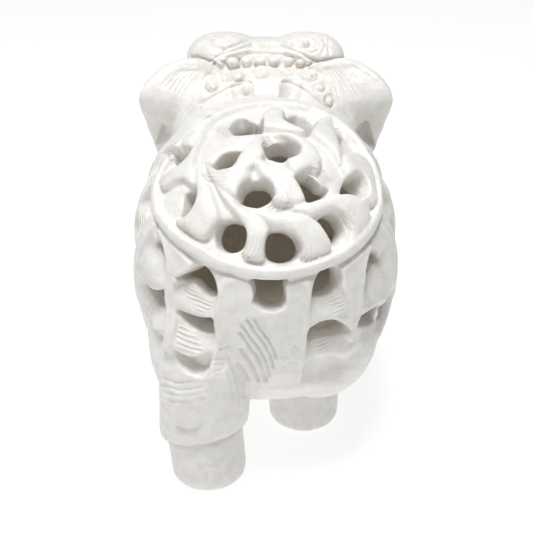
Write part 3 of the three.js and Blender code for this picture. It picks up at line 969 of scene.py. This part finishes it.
# Ornament that the photograph doesn't show
frontArt = {
    "brow": {
        "height": 80.0, "rise": 4.0, "reach": 21.0, "lowest": 66.0,
        "raised": 0.5, "edge": 3.2, "edgeHalfWidth": 0.8,
        "beadPitch": 4.2, "beadRadius": 0.42, "bead": 0.9,
    },
    "drop": {"height": 70.0, "half": (3.2, 4.6), "raised": 0.7, "groove": 0.45},
    "nails": {"turns": (-34.0, 0.0, 34.0), "half": (12.0, 4.2), "height": 1.5, "raised": 0.45},
}


def frontMarks(points):
    # the unseen front: a plain browband with beads, a drop on the forehead, and toenails
    x, y, z = points.T
    brow = frontArt["brow"]
    gap = np.abs(z - brow["height"] - brow["rise"] * (x / 20) ** 2)
    face = (1 - smooth(brow["reach"] - 1, brow["reach"], np.abs(x))) * (z > brow["lowest"])
    band = bandProfile(np.abs(gap - brow["edge"]), brow["edgeHalfWidth"]) * face
    pitch = brow["beadPitch"]
    across = (x + 50 * pitch) % pitch - pitch / 2
    height = brow["raised"] * band
    height += brow["bead"] * dome(np.hypot(across, gap) / (brow["beadRadius"] * pitch)) * face
    drop = frontArt["drop"]
    out = np.hypot(x / drop["half"][0], (z - drop["height"]) / drop["half"][1])
    height += drop["raised"] * dome(out) - drop["groove"] * np.exp(-((out - 1.25) / 0.14) ** 2)
    height *= smooth(-58, -62, y)
    nails = frontArt["nails"]
    for legX, legY, *_ in limbs["legs"]:
        turn = np.degrees(np.arctan2(-(y - legY), x - legX)) - 90
        close = np.hypot(x - legX, y - legY) < limbs["footRadius"] + 1
        for middle in nails["turns"]:
            out = np.hypot((turn - middle) / nails["half"][0], (z - nails["height"]) / nails["half"][1])
            height += nails["raised"] * dome(out) * close
    return height


# Ornament of the head, in the pixels of the 533 by 533 view
headArt = {
    "beads": [  # (across, down, half width, half height), height in mm
        ((219, 65, 4.6, 3.6), 0.7), ((233, 63, 6.4, 5.2), 1.2), ((246.5, 61.5, 5.6, 4.6), 1.1),
        ((260, 61.5, 6.0, 4.6), 1.2), ((274, 61, 6.2, 4.8), 1.2), ((288, 60.5, 5.4, 4.4), 1.0),
        ((299.5, 63, 4.4, 3.8), 0.7), ((261, 71.5, 8.6, 6.0), 1.1), ((237.5, 74, 6.5, 6.5), 0.8),
        ((279, 72, 5.2, 3.4), 0.8), ((289, 70.5, 4.8, 3.8), 0.7), ((309, 75, 9.0, 5.2), 1.1),
        ((211, 83, 6.2, 8.0), 0.9), ((225, 77, 5.0, 4.0), 0.6), ((321, 87, 4.8, 4.0), 0.5),
        ((306, 42.5, 4.4, 3.0), 0.8), ((330, 101, 4.0, 5.0), 0.4), ((246, 88, 4.4, 7.0), 0.5),
    ],
    "cuts": [  # half width, depth in mm, lines
        (1.3, 0.8, [
            [(205, 32), (212, 41), (219, 46.5), (224, 49.5)],
            [(224, 49.5), (232, 46), (241, 42.5), (250, 40)],
            [(281, 40), (292, 36.5), (304, 35.5), (314, 37), (318, 41), (315, 47)],
            [(281, 41), (292, 45), (302, 51.5), (309, 58), (314, 61)],
            [(215, 57.5), (230, 52), (245, 46.5), (262, 42.5), (276, 44), (290, 48.5), (305, 55),
             (318, 61.5)],
            [(183, 56), (197, 57), (210, 61), (220, 66)],
            [(345, 58), (330, 59.5), (316, 62), (304, 67)],
        ]),
        (1.1, 0.55, [
            [(218, 33), (226, 37), (235, 42)],
            [(196, 36), (190, 45), (189, 54)],
            [(290, 41.5), (298, 38.5), (308, 38.5), (313, 42), (309, 47), (300, 46.5)],
            [(297, 45.5), (304, 50), (311, 53), (318, 50), (321, 43)],
            [(323, 37), (325.5, 44), (322, 54)],
            [(330, 38), (328, 45), (330, 54)],
            [(261, 47.5), (266, 43.5), (272, 48), (266, 52.5), (261, 47.5)],
            [(206, 61.5), (225, 57), (245, 53.5), (265, 53), (285, 54.5), (300, 58)],
            [(201, 104), (212, 97), (228, 88), (245, 82.5), (268, 80.5), (290, 82.5), (308, 92),
             (330, 110)],
            [(243, 67), (243, 81)], [(230, 68.5), (231, 80)],
        ]),
        (0.9, 0.5, [
            [(206, 84), (211, 79), (216, 84), (211, 90), (206, 84)],
            [(255, 68), (261, 76), (268, 68)],
            [(302, 72), (309, 79), (317, 76)],
            [(274, 68), (281, 75), (286, 69)],
        ]),
    ],
    "bands": [  # half width, height in mm, lines
        (3.6, 0.45, [[(212, 61), (228, 55), (245, 50.5), (262, 48), (280, 50), (296, 55), (308, 60.5)]]),
        (2.2, 0.35, [
            [(285, 43.5), (297, 48), (308, 55)],
            [(228, 44.5), (240, 40)],
            [(209, 40), (217, 46)],
        ]),
    ],
    "fans": [  # first and last start, first and last end, number of strokes, bend
        (((181, 70), (212, 71)), ((163, 84), (196, 104)), 9, -1.5),
        (((199, 96), (206, 103)), ((186, 112), (190, 120)), 3, 0.0),
        (((322, 69), (352, 66)), ((337, 104), (380, 87)), 10, 1.5),
        (((318, 96), (330, 98)), ((334, 116), (348, 118)), 4, 0.0),
    ],
    "fanDepth": 0.42,
    "fanWidth": 1.15,
    "beadGroove": 0.55,
    "beadGrooveWidth": 1.3,
    "rust": [  # place, reach, strength
        ((240, 59), 2.5, 0.9), ((224, 64), 3.0, 0.7), ((297, 65), 4.0, 0.7), ((312, 78.5), 1.8, 0.9),
        ((223, 49), 2.2, 0.7), ((322, 84), 3.0, 0.5), ((331, 108), 2.5, 0.7), ((213, 92), 4.5, 0.4),
        ((214, 79), 3.0, 0.4), ((206, 87), 1.5, 0.7), ((262, 76), 3.0, 0.4), ((306, 44), 3.5, 0.35),
        ((328, 44), 5.0, 0.25), ((318, 62), 8.0, 0.25), ((205, 60), 10.0, 0.2), ((332, 92), 6.0, 0.3),
        ((229, 73), 8.0, 0.22), ((262, 47), 4.0, 0.35), ((215, 47), 5.0, 0.3),
    ],
}


def headMarks(u, v):
    # beads, drops, bands and strokes cut on the back of the head, drawn in the view
    height = np.zeros_like(u)
    rust = np.zeros_like(u)
    for (cu, cv, ru, rv), up in headArt["beads"]:
        radius = np.sqrt(((u - cu) / ru) ** 2 + ((v - cv) / rv) ** 2)
        gap = (radius - 1.12) * min(ru, rv)
        height += up * dome(radius)
        groove = np.exp(-(gap / headArt["beadGrooveWidth"]) ** 2)
        height -= headArt["beadGroove"] * groove
        rust = np.maximum(rust, 0.55 * groove * smooth(-0.4, 0.9, np.sin(cu * 1.7) + (v - cv) / rv))
    for width, depth, lines in headArt["cuts"]:
        for line in lines:
            groove = np.exp(-(lineGap(u, v, line) / width) ** 2)
            height -= depth * groove
            rust = np.maximum(rust, 0.22 * depth * groove)
    for width, up, lines in headArt["bands"]:
        for line in lines:
            height += up * bandProfile(lineGap(u, v, line), width)
    for start, end, count, bend in headArt["fans"]:
        (a0, b0), (a1, b1) = start
        (c0, d0), (c1, d1) = end
        for k in range(count):
            t = k / (count - 1)
            head = (a0 + (a1 - a0) * t, b0 + (b1 - b0) * t)
            tail = (c0 + (c1 - c0) * t, d0 + (d1 - d0) * t)
            middle = ((head[0] + tail[0]) / 2 + bend, (head[1] + tail[1]) / 2 - abs(bend))
            groove = np.exp(-(lineGap(u, v, [head, middle, tail]) / headArt["fanWidth"]) ** 2)
            height -= headArt["fanDepth"] * (0.6 + 0.4 * math.sin(7 * k)) * groove
    for (cu, cv), radius, share in headArt["rust"]:
        rust = np.maximum(rust, share * np.exp(-((u - cu) ** 2 + (v - cv) ** 2) / radius ** 2))
    return height, rust


def footStain(points):
    # rust-coloured stain on the near foot
    middle, reach, strength = stone["footStain"]
    away = np.linalg.norm((points - middle) / reach, axis=1)
    return strength * (1 - smooth(0.2, 1.2, away))


def setPoints(mesh, points):
    mesh.vertices.foreach_set("co", points.ravel())
    mesh.update()


def skinWeight(points, lift, out):
    # one on the body's skin and on the thighs that stand out from it, nought on head and legs
    thigh = smooth(47, 51, out) * smooth(20, 27, points[:, 2]) * smooth(-8, 0, points[:, 1])
    highest = 1.6 + 7.5 * thigh
    return (1 - smooth(highest - 1.2, highest, lift)) * smooth(-40, -33, points[:, 1])


def raiseRelief(block):
    points = meshPoints(block.data)
    x, y, lift, directions = bodyToChart(points)
    relief = skinRelief(x, y)[0] * skinWeight(points, lift, np.hypot(x, y))
    setPoints(block.data, points + directions * relief[:, None])
    print("relief raised")


def withinBox(points):
    # no further out than the CAD solid, and flat on the floor
    low, high = np.array(cadBox) / mm - ((0, frameShift, 0),) * 2
    rear = high[1] - boxEase
    points[:, 1] = np.where(points[:, 1] > rear, rear + boxEase * np.tanh((points[:, 1] - rear) / boxEase),
                            points[:, 1])
    return np.clip(points, low + (0.02, 0.02, 0), high - 0.02)


def finishSkin(shell):
    # the cuts drawn in the view, and what the finish reads from each point
    mesh = shell.data
    points = meshPoints(mesh)
    normals = meshNormals(mesh)
    x, y, lift, directions = bodyToChart(points)
    u, v = toPhoto(points)
    outward = smooth(0.15, 0.5, normals[:, 1]) * (lift > -4) * smooth(14, 22, points[:, 1])
    toEye = unit(eyeSpot() - points)
    seen = smooth(0.2, 0.5, (normals * toEye).sum(1)) * (lift > -2.5) * (1 - smooth(-30, -22, points[:, 1]))
    seen *= smooth(66, 72, points[:, 2])
    marks, rust = headMarks(u, v)
    height = rearMarks(u, v) * outward + marks * seen + frontMarks(points) + handWobble(points)
    points = points + normals * height[:, None]
    setPoints(mesh, withinBox(points))
    relief, phase, mask = skinRelief(x, y)
    weight = skinWeight(points, lift, np.hypot(x, y)) * smooth(-3.5, -2.0, lift)
    weight *= smooth(0.3, 0.6, (normals * directions).sum(1))
    body = (lift < 1.5) * (points[:, 1] > -42)
    # painted shade: a warm beige darkening deep in the holes and the hollow, in sunk relief, and on
    # surfaces facing down
    paintedShade = np.maximum(smooth(2.0, 8.0, -lift), 0.5 * smooth(0.6, 2.2, -relief * weight)) * body
    # painted shade on surfaces facing down, stronger the further they turn under
    paintedShade = np.maximum(paintedShade, stone["undersideShade"] * smooth(0.25, -0.75, normals[:, 2]) * (lift > -3))
    stain = np.maximum(footStain(points), rust * seen)
    for name, values in (("strokePhase", phase), ("strokeMask", mask * weight), ("paintedShade", paintedShade),
                         ("ochre", stain)):
        mesh.attributes.new(name, "FLOAT", "POINT").data.foreach_set("value", values.astype(np.float32))


def finishElephant():
    shell = elephantShell()
    finishSkin(shell)
    print("skin finished")
    count = sum(len(p.vertices) - 2 for p in shell.data.polygons)
    if count > triangleLimit:
        applyModifier(shell, "DECIMATE", ratio=triangleLimit / count)
    mesh = shell.data
    points = meshPoints(mesh)
    points[:, 1] += frameShift
    points[:, 2] = np.maximum(points[:, 2], 0)
    points *= mm
    setPoints(mesh, points)
    mesh.shade_smooth()
    print("elephant", len(mesh.polygons), "faces")
    return shell


stone = {
    "light": (0.86, 0.845, 0.815),
    "grey": (0.70, 0.69, 0.66),
    # colour of the painted shade in holes, the hollow, sunk relief and undersides
    "paintedShade": (0.84, 0.775, 0.675),
    "ochre": (0.50, 0.36, 0.17),
    "roughness": (0.36, 0.55),
    # strength of the painted shade on surfaces facing down
    "undersideShade": 0.45,
    "glow": 0.25,
    "glowReach": 0.004,
    "glowColour": (1.0, 0.85, 0.6),
    "bending": 1.49,  # index of refraction
    "cloudScale": 45.0,
    "speckScale": 330.0,
    "grainScale": 1500.0,
    "strokeDepth": 0.0003,
    "speckDepth": 0.0005,
    "grainDepth": 0.00008,
    "footStain": ((14.0, 44.5, 7.0), (7.0, 5.0, 4.5), 0.16),  # middle, reach, strength
}


class Value:
    # a shader socket that takes part in sums
    tree = None

    def __init__(self, socket):
        self.socket = socket

    @classmethod
    def node(cls, kind, out=0, inputs=None, **settings):
        made = cls.tree.nodes.new(kind)
        for key, value in settings.items():
            setattr(made, key, value)
        for key, value in (inputs or {}).items():
            if isinstance(value, Value):
                cls.tree.links.new(value.socket, made.inputs[key])
            else:
                made.inputs[key].default_value = value
        return cls(made.outputs[out])

    def maths(self, operation, *others):
        return Value.node("ShaderNodeMath", inputs=dict(enumerate((self,) + others)), operation=operation)

    def __add__(self, other):
        return self.maths("ADD", other)

    def __sub__(self, other):
        return self.maths("SUBTRACT", other)

    def __mul__(self, other):
        return self.maths("MULTIPLY", other)

    def __rsub__(self, other):
        return self.maths("MULTIPLY", -1.0).maths("ADD", other)

    __radd__ = __add__
    __rmul__ = __mul__

    def between(self, low, high):
        return Value.node("ShaderNodeMapRange", inputs={0: self, 1: low, 2: high, 3: 0.0, 4: 1.0},
                          interpolation_type="SMOOTHSTEP")


def mixed(share, first, second):
    # colours are three numbers or a socket
    pair = [colour if isinstance(colour, Value) else (*colour, 1.0) for colour in (first, second)]
    return Value.node("ShaderNodeMix", out=2, inputs={0: share, 6: pair[0], 7: pair[1]}, data_type="RGBA")


def marblePaint():
    paint = bpy.data.materials.new("white marble")
    paint.use_nodes = True
    Value.tree = paint.node_tree
    shader = paint.node_tree.nodes["Principled BSDF"]
    place = Value.node("ShaderNodeTexCoord", out=3)

    def noise(scale, detail=3.0, rough=0.55):
        return Value.node("ShaderNodeTexNoise", inputs={"Vector": place, "Scale": scale, "Detail": detail,
                                                        "Roughness": rough})

    def kept(name):
        return Value.node("ShaderNodeAttribute", out=2, attribute_name=name)

    cloud, speck = noise(stone["cloudScale"]), noise(stone["speckScale"])
    grain = noise(stone["grainScale"], 2.0)
    paintedShade, ochre = kept("paintedShade"), kept("ochre")
    veins = cloud.between(0.35, 0.75) * 0.35 + speck.between(0.4, 0.65) * 0.35
    colour = mixed(veins, stone["light"], stone["grey"])
    # painted shade: the beige shade colour mixed in where the painted shade mask is high
    colour = mixed((paintedShade * (0.55 + 0.9 * speck)).between(0.1, 1.1) * 0.85, colour, stone["paintedShade"])
    colour = mixed(ochre * speck.between(0.3, 0.65), colour, stone["ochre"])
    strokeWave = (kept("strokePhase") * (2 * math.pi)).maths("SINE").between(-0.6, 0.9)
    relief = strokeWave * kept("strokeMask") * stone["strokeDepth"]
    relief = relief + speck * stone["speckDepth"] + grain * stone["grainDepth"]
    bump = Value.node("ShaderNodeBump", inputs={"Height": relief, "Distance": 1.0, "Strength": 1.0})
    rough = stone["roughness"]
    # roughness rises with the speckle and with the painted shade mask
    roughness = rough[0] + (rough[1] - rough[0]) * (speck.between(0.35, 0.7) * 0.6 + paintedShade * 0.4)
    for name, value in (("Base Color", colour), ("Roughness", roughness), ("Normal", bump)):
        paint.node_tree.links.new(value.socket, shader.inputs[name])
    shader.inputs["Subsurface Weight"].default_value = stone["glow"]
    shader.inputs["Subsurface Scale"].default_value = stone["glowReach"]
    shader.inputs["Subsurface Radius"].default_value = stone["glowColour"]
    shader.inputs["IOR"].default_value = stone["bending"]
    return paint


elephant = finishElephant()
elephant.data.materials.clear()
elephant.data.materials.append(marblePaint())
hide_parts("elephant")
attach(elephant, "root")


def makeCamera():
    target = np.array(studio["target"]) + (0, frameShift, 0)
    eye = eyeSpot() + (0, frameShift, 0)
    data = bpy.data.cameras.new("camera")
    data.sensor_width = 36
    data.lens = studio["focalPixels"] / studio["frameWidth"] * data.sensor_width
    data.clip_start = 0.01
    camera = bpy.data.objects.new("camera", data)
    camera.location = Vector(eye) * mm
    camera.rotation_euler = Vector(target - eye).to_track_quat("-Z", "Y").to_euler()
    bpy.context.scene.collection.objects.link(camera)
    bpy.context.scene.camera = camera


def makeStudio():
    scene = bpy.context.scene
    bm = bmesh.new()
    bmesh.ops.create_grid(bm, x_segments=1, y_segments=1, size=studio["floorHalfSize"])
    floor = keep(bm, "floor")
    paint = bpy.data.materials.new("floor paint")
    paint.use_nodes = True
    shader = paint.node_tree.nodes["Principled BSDF"]
    shader.inputs["Base Color"].default_value = studio["floorTone"]
    shader.inputs["Roughness"].default_value = 1
    shader.inputs["Specular IOR Level"].default_value = 0
    shader.inputs["Emission Color"].default_value = (1, 1, 1, 1)
    shader.inputs["Emission Strength"].default_value = studio["floorGlow"]
    floor.data.materials.append(paint)
    world = bpy.data.worlds.new("studio")
    world.use_nodes = True
    world.node_tree.nodes["Background"].inputs["Color"].default_value = (1, 1, 1, 1)
    world.node_tree.nodes["Background"].inputs["Strength"].default_value = studio["sky"]
    scene.world = world
    for name, place, size, power in studio["lamps"]:
        data = bpy.data.lights.new(name, "AREA")
        data.size = size
        data.energy = power
        lamp = bpy.data.objects.new(name, data)
        lamp.location = place
        toPiece = Vector(studio["aim"]) - Vector(place)
        lamp.rotation_euler = toPiece.to_track_quat("-Z", "Y").to_euler()
        scene.collection.objects.link(lamp)
    scene.view_settings.view_transform = "Standard"


makeCamera()
makeStudio()
print("studio ready")
